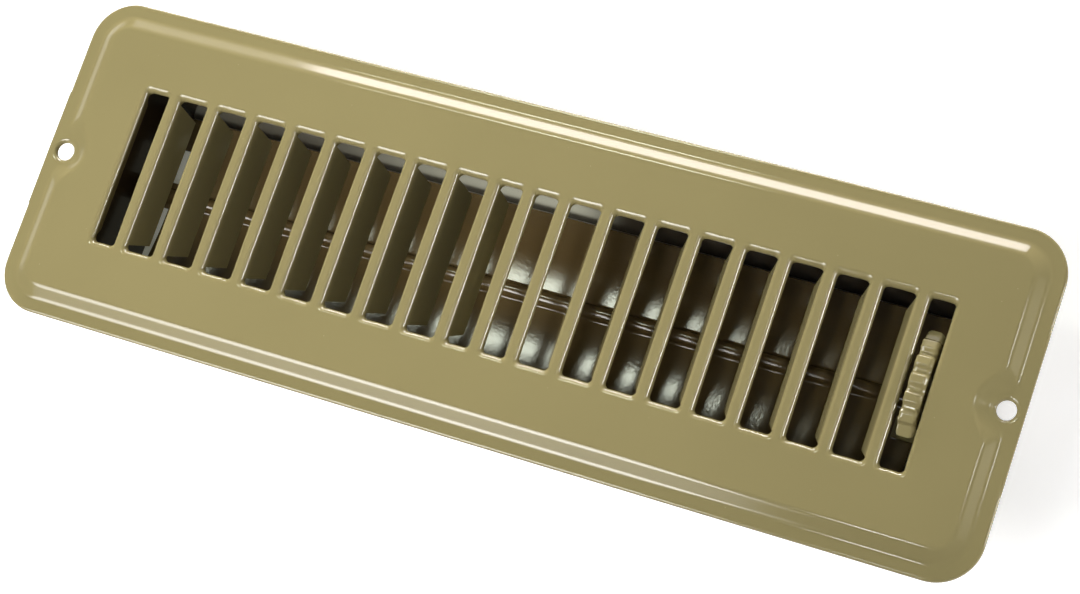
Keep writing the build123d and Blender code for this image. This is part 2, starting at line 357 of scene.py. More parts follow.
def slot_count(s):
    """Slots in one half: as many pitches as fit between the middle and the thumbwheel's slot."""
    low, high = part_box("thumbwheel")
    return int((low[0] + high[0]) / 2 / MM // s["slot_pitch"]) + 1


def slot_edges(s):
    """(inner, outer) edge of each slot of one half, from the middle to the end."""
    first = s["centre_bar"] / 2 + s["centre_slot"]
    outer = first + s["slot_pitch"] * np.arange(slot_count(s) - 1)
    inner = np.concatenate([[s["centre_bar"] / 2], outer + s["bar"]])
    outer = np.concatenate([outer, [outer[-1] + s["bar"] + s["end_slot"]]])
    return np.stack([inner, outer], axis=1)


def quarter_round(radius, steps):
    """(distance from the edge, drop below the top) of a quarter circle, from the edge inwards."""
    turn = np.linspace(0, math.pi / 2, steps)
    return radius * (1 - np.cos(turn)), radius * (1 - np.sin(turn))


ACROSS = np.linspace(-1, 1, 9)  # fractions along a slot cell's short side
CORNER_TURNS = np.linspace(0, math.pi / 2, 9)[1:-1]  # angles inside a slot's corner
PLATE_TURNS = np.linspace(0, math.pi / 2, 17)[1:-1]  # angles inside the plate's corner
BLOCK_SHARE = 0.5  # part of each end of the frame that is left to its screw hole
FIELD_INSET = 21.1  # from the plate's edge to the field of slot cells, in millimetres
CELL_SHARE = 0.35  # where on a bar the line between two slot cells runs
FLAT_MARGIN = 0.15  # flat strip kept round each rolled slot edge, in millimetres
# Insets of the frame's lines from the plate's edge in millimetres, closest together over the bevel
FRAME_LINES = np.concatenate(
    [[0.9, 1.4, 2.4], np.linspace(3.0, 8.8, 30), np.linspace(9.4, FIELD_INSET, 7)]
)


def along_fractions():
    """Fractions along a slot's straight side: even steps in the middle, wider ones beyond."""
    middle = np.linspace(-BLOCK_SHARE, BLOCK_SHARE, 21)
    outer = np.array([0.66, 0.82, 1.0])
    return np.concatenate([-outer[::-1], middle, outer])


def fin_patches(edge, side, lean, bend, run, s, along):
    """One fin: a strip that bends about a line under the slot edge, then runs straight down.

    Upper and lower lines of its section are circles about the bend line followed by tangents,
    and the strip's length shrinks evenly with depth. Its root lies inside the rolled slot edge.
    """
    half = s["slot_length"] / 2 - s["slot_corner"]
    turn = np.linspace(0, math.pi / 2 - lean, 10)
    reach = np.linspace(0, run, 4)[1:]

    def line(radius):
        root = [edge + bend / 2]
        straight_x = radius * np.sin(turn[-1]) + reach * np.sin(lean)
        straight_z = radius * np.cos(turn[-1]) - reach * np.cos(lean)
        x = edge - np.concatenate([radius * np.sin(turn), straight_x])
        z = np.concatenate([radius * np.cos(turn), straight_z])
        return np.concatenate([root, x]), np.concatenate([z[:1], z]) + s["panel_rise"] - bend

    upper_x, upper_z = line(bend + s["sheet"] - SINK)
    lower_x, lower_z = line(bend + SINK)
    depth = np.concatenate([np.zeros(len(turn) + 1), reach]) / run
    shrink = 1 - depth * s["fin_taper"] / half

    def surface(x, z):
        y = half * along[None, :] * shrink[:, None]
        return np.stack(np.broadcast_arrays(side * x[:, None], y, z[:, None]), axis=-1)

    upper, lower = surface(upper_x, upper_z), surface(lower_x, lower_z)
    lengthwise = [np.stack([upper[k], lower[k]]) for k in (0, -1)]
    ends = [np.stack([upper[:, k], lower[:, k]]) for k in (0, -1)]
    return [patch(grid) for grid in [upper, lower] + lengthwise + ends]


def slot_patches(inner, outer, low, high, side, bend, s, along):
    """One slot and the sheet round it, out to the cell's lines at low and high.

    The sheet rolls down into the slot in a quarter circle from the outer line to the opening's
    line. The radius is small on the sheared side, larger at the ends and the fin's on its side.
    """
    fin_roll = bend + s["sheet"]
    top, under = s["panel_rise"] + s["sheet"], s["panel_rise"]
    half_y = s["slot_length"] / 2

    def loop(x_low, x_high, y_half, corner):
        line = rounded_loop((x_high - x_low) / 2, y_half, corner, ACROSS, along, CORNER_TURNS)
        return line + (side * (x_low + x_high) / 2, 0)

    opening = loop(inner, outer - fin_roll, half_y, s["slot_corner"])
    start_x, start_y = inner - s["side_roll"], half_y + s["end_roll"]
    start = loop(start_x, outer, start_y, s["roll_corner"])
    flat = loop(
        start_x - FLAT_MARGIN, outer + FLAT_MARGIN, start_y + FLAT_MARGIN, s["roll_corner"] + FLAT_MARGIN
    )
    cell = loop(low, high, FACE_WIDTH / 2 - FIELD_INSET, 0)
    away = start - opening
    reach = np.hypot(away[:, 0], away[:, 1])
    turn = np.linspace(0, math.pi / 2, 10)[:, None]
    plan = opening[None] + away[None] * (1 - np.cos(turn))[..., None]
    rolled = with_height(plan, top - reach[None] * (1 - np.sin(turn)))
    upper = np.concatenate([rolled, [with_height(flat, top), with_height(cell, top)]])
    edge_z = np.minimum(top - reach, under)
    share = np.minimum(1, s["sheet"] / reach)[:, None]
    lower = np.stack(
        [
            rolled[0],
            with_height(opening, edge_z),
            with_height(opening + away * share, edge_z),
            with_height(start, under),
            with_height(cell, under),
        ]
    )
    return [patch(upper, closed=True), patch(lower, closed=True)]


def field_fractions(s):
    """Fractions along the slot field's long side of every point that the slot cells have there."""
    lines = cell_lines(s)
    middle = (lines[1:] + lines[:-1]) / 2
    half = (lines[1:] - lines[:-1]) / 2
    points = (middle[:, None] + half[:, None] * ACROSS[None, :]).ravel()
    both = np.unique(np.round(np.concatenate([-points, points]), 6))
    return both / lines[-1]


def cell_lines(s):
    """X of the lines between slot cells of one half: on the flat of each bar, then the field's end."""
    outer = slot_edges(s)[:-1, 1]
    return np.concatenate([[0], outer + CELL_SHARE * s["bar"], [FACE_LENGTH / 2 - FIELD_INSET]])


def face_patches(s):
    """The whole stamped sheet: the slot cells and fins of both halves, then the frame round them."""
    along = along_fractions()
    lines = cell_lines(s)
    slots = slot_edges(s)
    patches = []
    for side in (-1, 1):
        for (inner, outer), low, high in zip(slots, lines[:-1], lines[1:]):
            last = outer == slots[-1, 1]
            bend = s["lip_bend"] if last else s["fin_bend"]
            lean = 0 if last else s["fin_lean"]
            run = s["lip_drop"] if last else outer - inner - s["fin_trim"]
            patches += slot_patches(inner, outer, low, high, side, bend, s, along)
            patches += fin_patches(outer, side, lean, bend, run, s, along)
    return patches + frame_patches(s, along)


def frame_patches(s, along):
    """Rim, bevel and panel up to the slot field, with the two screw hole blocks.

    Rounded rectangles at growing insets from the plate's edge take their heights from the sheet's
    field. The first few also drop in a quarter circle to round the upper edge.
    """
    start, drop = quarter_round(s["edge_round"], 5)
    fall = np.concatenate([drop, np.zeros(len(FRAME_LINES))])
    insets = np.concatenate([start, FRAME_LINES])
    half_x, half_y = FACE_LENGTH / 2 - insets, FACE_WIDTH / 2 - insets
    corners = np.maximum(s["corner"] - insets, 0)
    across = field_fractions(s)
    loops = [rounded_loop(*sizes, across, along, PLATE_TURNS) for sizes in zip(half_x, half_y, corners)]
    plan = np.stack(loops)
    top = sheet_top(plan[..., 0], plan[..., 1], s)
    upper = with_height(plan, top - fall[:, None])
    lower = with_height(plan, top - s["sheet"])
    in_block = np.flatnonzero(np.abs(along) <= BLOCK_SHARE + WELD)
    left_start = len(along) + 2 * len(PLATE_TURNS) + len(across)
    blocks = [in_block, left_start + in_block]
    keep = np.ones(plan.shape[1], bool)
    for block in blocks:
        keep[block[:-1]] = False
    patches = [
        patch(upper, closed=True, keep=keep),
        patch(lower, closed=True, keep=keep),
        patch(np.stack([upper[0], lower[0]]), closed=True),
    ]
    for side, block in zip((1, -1), blocks):
        patches += screw_patches(upper[:, block], side, s)
    return patches


def screw_patches(block, side, s):
    """Sheet round one screw hole: straight lines from the hole's rounded edge to the block's border.

    The border is the outline of the block that was left out of the frame, and every point's
    height comes from the same field as the rest of the sheet.
    """
    hole_x = side * (FACE_LENGTH / 2 - s["screw_inset"])
    hole_radius = s["screw_hole"] / 2
    border = np.concatenate([block[0], block[1:-1, -1], block[-1][::-1], block[1:-1, 0][::-1]])
    turn = np.arctan2(border[:, 1], border[:, 0] - hole_x)
    rim = np.stack([hole_x + hole_radius * np.cos(turn), hole_radius * np.sin(turn)], axis=1)
    away = border[:, :2] - rim
    start, drop = quarter_round(s["side_roll"], 5)
    near = start[:, None] / np.hypot(away[:, 0], away[:, 1])[None, :]
    far = near[-1] + (1 - near[-1]) * np.linspace(0, 1, 48)[1:, None]
    plan = rim[None] + away[None] * np.concatenate([near, far])[..., None]
    height = sheet_top(plan[..., 0], plan[..., 1], s)
    height[: len(drop)] -= drop[:, None]
    height[-1] = border[:, 2]
    above = with_height(plan, height)
    low_plan = rim[None] + away[None] * np.linspace(0, 1, 30)[:, None, None]
    below = with_height(low_plan, sheet_top(low_plan[..., 0], low_plan[..., 1], s) - s["sheet"])
    hole_wall = np.stack([above[0], below[0]])
    return [patch(grid, closed=True) for grid in (above, below, hole_wall)]


# The damper


def turned(patches, radians):
    """Patches turned about the damper's rod."""
    rod = np.array([0, 0, PIVOT_Z])
    c, d = math.cos(radians), math.sin(radians)
    turn = np.array([[1, 0, 0], [0, c, -d], [0, d, c]])
    return [((points - rod) @ turn.T + rod, quads) for points, quads in patches]


def blade_lines(s):
    """Upper and lower line of the blade's section from the -Y edge to the +Y edge.

    Each wing is a parabola dished between edge and rib, with points where the ear and the tab end.
    The rib is a circle about the rod, and circles of the rib foot's radius lead into it.
    """
    half = s["blade_width"] / 2
    outer = s["rib_inside"] + s["blade_sheet"]
    foot_z = s["blade_sheet"] / 2 + s["rib_foot"]
    foot_y = math.sqrt((outer + s["rib_foot"]) ** 2 - foot_z**2)
    foot_turn = math.atan2(foot_z, foot_y)
    cuts = np.array([s["ear"], half - s["tab"] / 2]) / (half - foot_y)
    wing = np.union1d(np.linspace(0, 1, 25), cuts)
    bend = np.linspace(-math.pi / 2, foot_turn - math.pi, 9)
    crest = np.linspace(math.pi - foot_turn, math.pi / 2, 13)

    def half_line(skin):
        wing_y = half + (foot_y - half) * wing
        rise = s["blade_rise"] * (1 - wing) - 4 * s["blade_dish"] * wing * (1 - wing)
        wing_z = skin * s["blade_sheet"] / 2 + rise
        foot = s["rib_foot"] if skin > 0 else s["rib_foot"] + s["blade_sheet"]
        rib = outer if skin > 0 else s["rib_inside"]
        y = np.concatenate([wing_y, foot_y + foot * np.cos(bend[1:]), -rib * np.cos(crest[1:])])
        z = np.concatenate([wing_z, foot_z + foot * np.sin(bend[1:]), rib * np.sin(crest[1:])])
        return y, z + PIVOT_Z

    lines = []
    for skin in (1, -1):
        y, z = half_line(skin)
        lines.append(np.stack([np.concatenate([-y, y[::-1][1:]]), np.concatenate([z, z[::-1][1:]])], axis=1))
    return lines


def prism_patches(upper, lower, x_low, x_high, steps, low_cap=None, high_cap=True):
    """Bar of the section between two lines, carried along X.

    low_cap is a mask of the first cap's cells, and the last cap can be left open.
    """
    x = np.linspace(x_low, x_high, steps)

    def swept(line):
        points = np.broadcast_to(line[None], (steps, len(line), 2))
        return np.concatenate([np.broadcast_to(x[:, None, None], (steps, len(line), 1)), points], axis=-1)

    top, under = swept(upper), swept(lower)
    sides = [np.stack([top[:, k], under[:, k]]) for k in (0, -1)]
    patches = [patch(grid) for grid in [top, under] + sides]
    patches.append(patch(np.stack([top[0], under[0]]), keep=low_cap))
    if high_cap:
        patches.append(patch(np.stack([top[-1], under[-1]])))
    return patches


def blade_patches(s):
    """Middle tab and corner ear at the -X end, then wings and rib over the blade's length."""
    upper, lower = blade_lines(s)
    low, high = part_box("damper_blade")
    tab_x, end_x = low[0] / MM, high[0] / MM
    wing_x = end_x - s["blade_length"]
    half = s["blade_width"] / 2
    tab = np.flatnonzero(np.abs(upper[:, 0]) < s["tab"] / 2 + WELD)
    ear = np.flatnonzero(upper[:, 0] > half - s["ear"] - WELD)
    bare = np.ones(len(upper) - 1, bool)
    patches = []
    for stretch in (tab, ear):
        bare[stretch[:-1]] = False
        patches += prism_patches(upper[stretch], lower[stretch], tab_x, wing_x, 3, high_cap=False)
    patches += prism_patches(upper, lower, wing_x, end_x, 41, low_cap=bare)
    return turned(patches, s["rest_turn"] + s["blade_set"])


def strip_radius(turn, radius, s):
    """Radius of the corrugated strip: lands and grooves with cosine flanks, plain tongues beyond."""
    pitch = s["land_pitch"] / radius
    span = pitch * s["land_count"] / 2
    phase = np.abs((turn / pitch + (s["land_count"] - 1) / 2 + 0.5) % 1 - 0.5) * pitch * radius
    flank = (s["land_pitch"] - s["land"] - s["groove"]) / 2
    share = np.clip((phase - s["land"] / 2) / flank, 0, 1)
    raised = np.where(np.abs(turn) < span, 0.5 + 0.5 * np.cos(math.pi * share), 0)
    return radius - s["groove_depth"] * (1 - raised)


def strip_sections(s):
    """Two closed sections of the strip with the same number of points, in X from the outer side and depth.

    The first bends down into the web in a quarter circle, the second is flat with rounded edges.
    """
    sheet, width, skirt = s["strip_sheet"], s["strip_width"], s["strip_skirt"]
    turn = np.linspace(math.pi / 2, 0, 9)
    free = np.linspace(math.pi, math.pi / 2, 6)

    def edge_arc(x, depth, radius, turns):
        return np.stack([x + radius * np.cos(turns), depth + radius * np.sin(turns)], axis=1)

    def run(x0, depth0, x1, depth1, count):
        return np.stack([np.linspace(x0, x1, count), np.linspace(depth0, depth1, count)], axis=1)

    def section(bend, leg):
        outer = bend + sheet
        top = run(-width + s["strip_round"], 0, -outer, 0, 20)[1:-1]
        under = run(-outer, -sheet, -width + s["strip_round"], -sheet, 20)[1:-1]
        return np.concatenate(
            [
                edge_arc(-width + s["strip_round"], -s["strip_round"], s["strip_round"], free),
                top,
                edge_arc(-outer, -outer, outer, turn),
                run(0, -outer, 0, -leg, 6)[1:],
                run(-sheet, -leg, -sheet, -outer, 6)[:-1],
                edge_arc(-outer, -outer, bend, turn[::-1]),
                under,
                edge_arc(-width + s["strip_round"], s["strip_round"] - sheet, s["strip_round"], -free[::-1]),
            ]
        )

    bent = section(s["strip_bend"], skirt)
    flat = bent.copy()
    flat[:, 1] = np.where(bent[:, 1] < -sheet, -sheet, bent[:, 1])
    curl = np.clip((s["strip_curl"] - width - bent[:, 0]) / s["strip_curl"], 0, 1)
    bent[:, 1] -= s["strip_droop"] * (1 - np.sqrt(1 - curl**2))
    return bent, flat


def wheel_patches(s):
    """Corrugated strip bent from the rim of a flat web, with a hub round the rod and two welded feet.

    The strip's section is carried along the wavy rim. Its skirt and its waves die away downwards,
    it goes flat beyond the web, and its width closes in a quarter circle at each tongue.
    """
    outer_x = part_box("thumbwheel")[1][0] / MM
    radius = s["wheel_radius"]
    turn = np.linspace(-s["strip_turn"], s["strip_turn"], 321)
    sunk = radius - strip_radius(turn, radius, s)
    bent, flat = strip_sections(s)
    past_web = np.clip((np.abs(turn) * radius - s["web"] / 2) / s["tongue_corner"] + 1, 0, 1)
    past_web = (past_web**2 * (3 - 2 * past_web))[:, None, None]
    section = bent[None] * (1 - past_web) + flat[None] * past_web
    to_end = (s["strip_turn"] - np.abs(turn)) * radius
    into = np.clip(1 - to_end / s["tongue_corner"], 0, 1)
    width = 1 - 2 * s["tongue_corner"] * (1 - np.sqrt(1 - into**2)) / s["strip_width"]
    middle = -s["strip_width"] / 2
    x = outer_x + middle + (section[..., 0] - middle) * width[:, None]
    fade = np.clip((section[..., 1] + s["strip_skirt"]) / (s["strip_skirt"] - s["strip_sheet"]), 0, 1)
    r = radius + section[..., 1] - sunk[:, None] * fade
    strip = np.stack([x, r * np.sin(turn)[:, None], r * np.cos(turn)[:, None] + PIVOT_Z], axis=-1)
    caps = [np.stack([strip[k], np.broadcast_to(strip[k].mean(axis=0), strip[k].shape)]) for k in (0, -1)]
    patches = [patch(strip, closed=True)] + [patch(cap, closed=True) for cap in caps]
    return turned(patches + web_patches(outer_x, radius, s), s["rest_turn"])


def web_patches(outer_x, radius, s):
    """Flat web, a ring for the hub, and the two bent feet.

    The web's rows rise evenly from the feet to a circle about the rod, just inside the strip.
    """
    inner_x = outer_x - s["strip_sheet"] + SINK
    outer_x = outer_x - SINK
    foot_z = PIVOT_Z + s["blade_sheet"] / 2 - FOOT_SINK
    top = radius - s["strip_skirt"] + s["strip_sheet"]
    across = np.linspace(-1, 1, 25)
    rise = np.linspace(0, 1, 9)[:, None]
    half = s["web"] / 2
    y = np.broadcast_to(across * half, (len(rise), len(across)))
    crown = np.sqrt(top**2 - y**2) + PIVOT_Z
    z = foot_z + (crown - foot_z) * rise
    faces = [np.stack([np.full(y.shape, x), y, z], axis=-1) for x in (inner_x, outer_x)]
    sides = [np.stack([faces[0][:, k], faces[1][:, k]]) for k in (0, -1)]
    ends = [np.stack([faces[0][k], faces[1][k]]) for k in (0, -1)]
    patches = [patch(grid) for grid in faces + sides + ends]
    turn = np.linspace(0, 2 * math.pi, 41)[:-1]
    low_x, high_x = inner_x - HUB_STAND, outer_x + HUB_STAND
    hole, hub = s["rod_hole"], s["hub"]
    outline = ((hole, low_x), (hub, low_x), (hub, high_x), (hole, high_x), (hole, low_x))
    r, x = np.array(outline).T[..., None]
    ring = np.broadcast_arrays(x, r * np.cos(turn), r * np.sin(turn) + PIVOT_Z)
    patches.append(patch(np.stack(ring, axis=-1), closed=True))
    reach_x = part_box("thumbwheel")[0][0] / MM
    for side in (-1, 1):
        foot_y = np.sort(side * np.array([half - s["foot"], half]))
        lower = np.stack([foot_y, np.full(2, foot_z)], axis=1)
        upper = lower + (0, s["strip_sheet"])
        patches += prism_patches(upper, lower, reach_x, inner_x + HUB_STAND, 2)
    return patches


# Materials

DRIFT_MM = 45  # distance between darker and lighter parts of an enamel film
DRIFT_SHADES = (0.93, 1.05)  # shade of these parts against the film's own colour
SPECK_GAP_MM = 3.4  # distance between the places where a dust speck may sit
SPECK_EDGE = (0.05, 0.02)  # distances, in gaps, at which a speck starts and is full
SPECK_COVER = 0.55  # how far a full speck hides the film
SPECK_CHOICE = (0.72, 0.78)  # random value of a place from which it holds a speck
DRAWN_LINE_MM = 0.3  # coarser than real drawing lines, so that they show


def add_node(tree, kind, settings=None, inputs=None):
    """Adds one node, sets its properties and sockets; a socket value may be another node's output."""
    made = tree.nodes.new(kind)
    for key, value in (settings or {}).items():
        setattr(made, key, value)
    for key, value in (inputs or {}).items():
        socket = made.inputs[key]
        if isinstance(value, bpy.types.NodeSocket):
            tree.links.new(value, socket)
        else:
            socket.default_value = value
    return made


def new_material(name):
    """Empty material with a node tree, its shader and the object coordinates of the piece."""
    material = bpy.data.materials.new(name)
    material.use_nodes = True
    tree = material.node_tree
    tree.nodes.clear()
    output = add_node(tree, "ShaderNodeOutputMaterial")
    shader = add_node(tree, "ShaderNodeBsdfPrincipled")
    tree.links.new(shader.outputs["BSDF"], output.inputs["Surface"])
    place = add_node(tree, "ShaderNodeTexCoord").outputs["Object"]
    return material, tree, shader, place


def per_mm(size):
    """Texture scale for a feature of the given size in millimetres, in Blender's metres."""
    return 1 / (size * MM)


def baked_enamel(name, base, dust, roughness, peel_mm, peel_height_mm):
    """Enamel sprayed on steel and baked: a glossy film with a faint orange peel and dust specks.

    The film reads as one colour that drifts a little, sharp but slightly rippled reflections,
    and a few pale specks where dust was caught.
    """
    material, tree, shader, place = new_material(name)
    drift = add_node(
        tree,
        "ShaderNodeTexNoise",
        inputs={"Vector": place, "Scale": per_mm(DRIFT_MM), "Detail": 2.0, "Roughness": 0.5},
    )
    darker, lighter = [tuple(min(v * part, 1) for v in base) + (1,) for part in DRIFT_SHADES]
    shade = add_node(
        tree,
        "ShaderNodeMix",
        {"data_type": "RGBA"},
        {"Factor": drift.outputs["Fac"], "A": darker, "B": lighter},
    )
    cells = add_node(tree, "ShaderNodeTexVoronoi", inputs={"Vector": place, "Scale": per_mm(SPECK_GAP_MM)})
    low, high = SPECK_EDGE
    pick = add_node(
        tree,
        "ShaderNodeMapRange",
        inputs={"Value": cells.outputs["Distance"], "From Min": low, "From Max": high, "To Max": SPECK_COVER},
    )
    low, high = SPECK_CHOICE
    held = {"Value": cells.outputs["Color"], "From Min": low, "From Max": high}
    chosen = add_node(tree, "ShaderNodeMapRange", inputs=held)
    speck = add_node(
        tree,
        "ShaderNodeMath",
        {"operation": "MULTIPLY"},
        {0: pick.outputs["Result"], 1: chosen.outputs["Result"]},
    )
    painted = add_node(
        tree,
        "ShaderNodeMix",
        {"data_type": "RGBA"},
        {"Factor": speck.outputs["Value"], "A": shade.outputs["Result"], "B": tuple(dust) + (1,)},
    )
    peel = add_node(
        tree,
        "ShaderNodeTexNoise",
        inputs={"Vector": place, "Scale": per_mm(peel_mm), "Detail": 2.0, "Roughness": 0.45},
    )
    bump = add_node(
        tree,
        "ShaderNodeBump",
        inputs={"Height": peel.outputs["Fac"], "Distance": peel_height_mm * MM, "Strength": 1.0},
    )
    tree.links.new(painted.outputs["Result"], shader.inputs["Base Color"])
    tree.links.new(bump.outputs["Normal"], shader.inputs["Normal"])
    shader.inputs["Roughness"].default_value = roughness
    shader.inputs["IOR"].default_value = 1.5
    return material


def drawn_steel(name, base):
    """Round steel drawn through a die: bare metal, shinier and duller in fine lines along its length."""
    material, tree, shader, place = new_material(name)
    stretch = add_node(tree, "ShaderNodeMapping", inputs={"Vector": place, "Scale": (0.02, 1.0, 1.0)})
    lines = add_node(
        tree,
        "ShaderNodeTexNoise",
        inputs={"Vector": stretch.outputs["Vector"], "Scale": per_mm(DRAWN_LINE_MM), "Detail": 3.0},
    )
    rough = add_node(
        tree, "ShaderNodeMapRange", inputs={"Value": lines.outputs["Fac"], "To Min": 0.28, "To Max": 0.5}
    )
    tree.links.new(rough.outputs["Result"], shader.inputs["Roughness"])
    shader.inputs["Base Color"].default_value = tuple(base) + (1,)
    shader.inputs["Metallic"].default_value = 1.0
    return material


def dress_node(node, material):
    """Gives a CAD node that keeps its own shape a new material."""
    materials = frame["nodes"][node].data.materials
    materials.clear()
    materials.append(material)


# Operators


class REGISTER_OT_face(bpy.types.Operator):
    """Builds the stamped face sheet with its slots, fins, bevel and screw holes"""

    bl_idname = "register.face"
    bl_label = "Face sheet"

    def execute(self, context):
        scene = context.scene
        finishes = scene.register_finishes
        film = dict(roughness=0.08, peel_mm=1.6, peel_height_mm=0.002)
        enamel = baked_enamel("tan_baked_enamel", finishes.face, finishes.dust, **film)
        patches = face_patches(millimetres(scene.register_face))
        mesh_piece("face_sheet", patches, enamel, "register", "face_plate")
        return {"FINISHED"}


class REGISTER_OT_blade(bpy.types.Operator):
    """Builds the damper blade with its rib, tab and ear"""

    bl_idname = "register.blade"
    bl_label = "Damper blade"

    def execute(self, context):
        scene = context.scene
        finishes = scene.register_finishes
        film = dict(roughness=0.15, peel_mm=0.9, peel_height_mm=0.022)
        # Painted shade: the blade's colour is the face's tan darkened for the dim inside of the collar
        enamel = baked_enamel("brown_sprayed_enamel", finishes.blade, finishes.blade, **film)
        patches = blade_patches(millimetres(scene.register_damper))
        mesh_piece("blade_sheet", patches, enamel, "damper", "damper_blade")
        return {"FINISHED"}


class REGISTER_OT_wheel(bpy.types.Operator):
    """Builds the corrugated thumbwheel"""

    bl_idname = "register.wheel"
    bl_label = "Thumbwheel"

    def execute(self, context):
        scene = context.scene
        finishes = scene.register_finishes
        film = dict(roughness=0.09, peel_mm=1.6, peel_height_mm=0.004)
        enamel = baked_enamel("wheel_baked_enamel", finishes.wheel, finishes.dust, **film)
        patches = wheel_patches(millimetres(scene.register_damper))
        mesh_piece("wheel_sector", patches, enamel, "damper", "thumbwheel")
        return {"FINISHED"}


class REGISTER_OT_collar(bpy.types.Operator):
    """Paints the duct collar and finishes the damper rod"""

    bl_idname = "register.collar"
    bl_label = "Collar and rod"

    def execute(self, context):
        finishes = context.scene.register_finishes
        film = dict(roughness=0.14, peel_mm=1.4, peel_height_mm=0.006)
        # Painted shade: the collar's colour is the face's tan darkened for the dim inside of the register
        enamel = baked_enamel("dark_dipped_enamel", finishes.collar, finishes.collar, **film)
        dress_node("duct_collar", enamel)
        dress_node("damper_rod", drawn_steel("drawn_rod_steel", finishes.rod))
        return {"FINISHED"}


# The stage

CAMERA_PLACE = (0.2596, -0.1248, 0.6632)
CAMERA_RIGHT = (0.9046, 0.3224, -0.2790)
CAMERA_UP = (-0.2508, 0.9316, 0.2634)
CAMERA_LENS = 89.0
SENSOR_WIDTH = 36.0
FLOOR_REACH = 3.0  # half the floor's side, in metres
WORLD_STRENGTH = 0.05
STEEP = 0.6  # a lamp whose direction is more upright than this is levelled by Y instead of Z

# Name, place, point faced, width, height, power in watts, tint and spread in degrees
LAMPS = (
    # Glints on the blade's two wings
    ("ceiling_low", (-0.37, 0.415, 0.855), (-0.10, 0, 0), 0.24, 0.09, 0.25, (0.93, 1.0, 0.84), 90),
    ("ceiling_high", (-0.315, 0.462, 0.845), (-0.10, 0, 0), 0.19, 0.09, 0.22, (0.93, 1.0, 0.84), 90),
    # Main light, which falls off towards the thumbwheel
    ("front_window", (-0.43, -0.45, 0.75), (-0.105, 0, 0), 0.50, 0.60, 1.12, (1.0, 0.99, 0.97), 50),
    # Sheen on the near bevel
    ("near_wall", (-0.55, -1.0, 0.72), (-0.06, 0, 0), 0.66, 0.45, 0.10, (1.0, 1.0, 1.0), 36),
    # Glints on the thumbwheel
    ("wheel_lamp", (-0.07, -0.30, 0.88), (0, 0, 0), 0.07, 0.085, 0.45, (0.95, 0.98, 1.0), 180),
    # Bright band on the far bevel, and the softer light round it
    ("bevel_strip", (-0.205, 1.0, 0.20), (0, 0, 0.05), 0.65, 0.22, 4.3, (1.0, 0.94, 0.92), 180),
    ("far_wall", (-0.37, 1.05, 0.42), (-0.1, 0, 0.05), 0.85, 0.70, 0.33, (1.0, 0.97, 0.93), 60),
    # Thin lines along the rolled sides and ends of the slots
    ("right_strip", (0.95, 0.165, 0.125), (0, 0, 0), 0.24, 0.17, 4.5, (0.98, 0.98, 1.0), 180),
    ("back_strip", (-0.36, 1.0, 0.095), (0, 0, 0), 0.66, 0.09, 7.5, (1.0, 0.98, 0.96), 180),
    # Bevel and dimple beside the thumbwheel
    ("right_wall", (1.0, 0.19, 0.62), (0.138, 0, 0), 0.60, 0.40, 0.008, (1.0, 0.94, 0.75), 16),
    ("dimple_lamp", (0.46, 0.18, 0.90), (0.138, 0, 0), 0.10, 0.12, 0.014, (0.94, 0.97, 1.0), 30),
)


def stand(holder, side, up, back, place):
    """Puts an object at a place with its three axes along the given directions."""
    rows = np.stack([side, up, back], axis=1).tolist()
    holder.matrix_world = Matrix([(*row, p) for row, p in zip(rows, place)] + [(0, 0, 0, 1)])


def area_light(name, place, aim, width, height, power, tint, spread):
    """Rectangular lamp at a place, facing a point."""
    lamp = bpy.data.lights.new(name, "AREA")
    lamp.shape = "RECTANGLE"
    lamp.size, lamp.size_y = width, height
    lamp.energy = power
    lamp.color = tint
    lamp.spread = math.radians(spread)
    holder = bpy.data.objects.new(name, lamp)
    bpy.context.scene.collection.objects.link(holder)
    back = np.subtract(place, aim)
    back /= np.linalg.norm(back)
    side = np.cross((0.0, 1.0, 0.0) if abs(back[2]) > STEEP else (0.0, 0.0, 1.0), back)
    side /= np.linalg.norm(side)
    stand(holder, side, np.cross(back, side), back, place)


